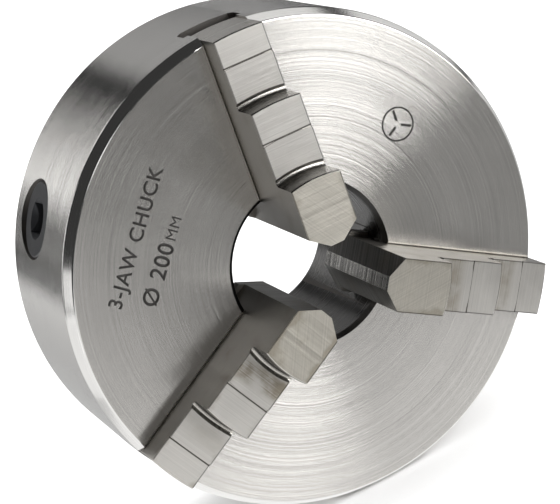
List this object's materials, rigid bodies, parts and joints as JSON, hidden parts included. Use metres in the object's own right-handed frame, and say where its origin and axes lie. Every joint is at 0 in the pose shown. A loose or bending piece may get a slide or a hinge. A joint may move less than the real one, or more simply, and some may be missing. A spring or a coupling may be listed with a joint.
{
  "type": "lathe chuck",
  "caption": "Self-centring scroll chuck for a lathe: steel disc body with a through-bore, stepped jaws in radial slots, and square key sockets in the rim.",
  "frame": {"origin": "centre of the mounting face, on the spindle axis, level with the mouth of the locating recess", "axes": "+Y along the spindle axis, out of the back of the chuck; jaws towards -Y; +Z along jaw 1"},
  "size_m": [0.2, 0.1138, 0.2],
  "materials": {
    "turned_steel": "fine-turned, bright",
    "cover_steel": "turned",
    "scroll_steel": "hardened and ground, oiled",
    "ground_jaw_steel": "hardened and ground",
    "black_oxide": "black oxide",
    "fastener_steel": "black oxide, worn"
  },
  "bodies": {
    "chuck_body": {"body": "turned_steel", "rear_cover": "cover_steel", "pinion_retaining_screw_1": "fastener_steel", "pinion_retaining_screw_2": "fastener_steel", "pinion_retaining_screw_3": "fastener_steel", "cover_screw_1": "fastener_steel", "cover_screw_2": "fastener_steel", "cover_screw_3": "fastener_steel", "cover_screw_4": "fastener_steel", "cover_screw_5": "fastener_steel", "cover_screw_6": "fastener_steel", "cover_dowel_1": "fastener_steel", "cover_dowel_2": "fastener_steel"},
    "scroll": {"scroll_plate": "scroll_steel"},
    "jaw_a": {"jaw_1": "ground_jaw_steel"},
    "jaw_b": {"jaw_2": "ground_jaw_steel"},
    "jaw_c": {"jaw_3": "ground_jaw_steel"},
    "pinion_a": {"pinion_1": "black_oxide"},
    "pinion_b": {"pinion_2": "black_oxide"},
    "pinion_c": {"pinion_3": "black_oxide"}
  },
  "joints": [
    {"name": "scroll_turn", "type": "hinge", "parent": "chuck_body", "child": "scroll", "pos_m": [0, 0, 0], "axis": [0, 1, 0], "range_deg": [-585, 1260]},
    {"name": "jaw_1_slide", "type": "slide", "parent": "chuck_body", "child": "jaw_a", "axis": [0, 0, 1], "range_m": [-0.013, 0.028]},
    {"name": "jaw_2_slide", "type": "slide", "parent": "chuck_body", "child": "jaw_b", "axis": [-0.866, 0, -0.5], "range_m": [-0.013, 0.028]},
    {"name": "jaw_3_slide", "type": "slide", "parent": "chuck_body", "child": "jaw_c", "axis": [0.866, 0, -0.5], "range_m": [-0.013, 0.028]},
    {"name": "pinion_1_turn", "type": "hinge", "parent": "chuck_body", "child": "pinion_a", "pos_m": [0, -0.0268, 0], "axis": [0.866, 0, 0.5], "range_deg": [-3510, 7560]},
    {"name": "pinion_2_turn", "type": "hinge", "parent": "chuck_body", "child": "pinion_b", "pos_m": [0, -0.0268, 0], "axis": [-0.866, 0, 0.5], "range_deg": [-3510, 7560]},
    {"name": "pinion_3_turn", "type": "hinge", "parent": "chuck_body", "child": "pinion_c", "pos_m": [0, -0.0268, 0], "axis": [0, 0, -1], "range_deg": [-3510, 7560]}
  ],
  "couplings": [
    {"joint": "jaw_1_slide", "follows": "scroll_turn", "m_per_rad": 0.0012732},
    {"joint": "jaw_2_slide", "follows": "scroll_turn", "m_per_rad": 0.0012732},
    {"joint": "jaw_3_slide", "follows": "scroll_turn", "m_per_rad": 0.0012732},
    {"joint": "pinion_1_turn", "follows": "scroll_turn", "ratio": 6},
    {"joint": "pinion_2_turn", "follows": "scroll_turn", "ratio": 6},
    {"joint": "pinion_3_turn", "follows": "scroll_turn", "ratio": 6}
  ]
}
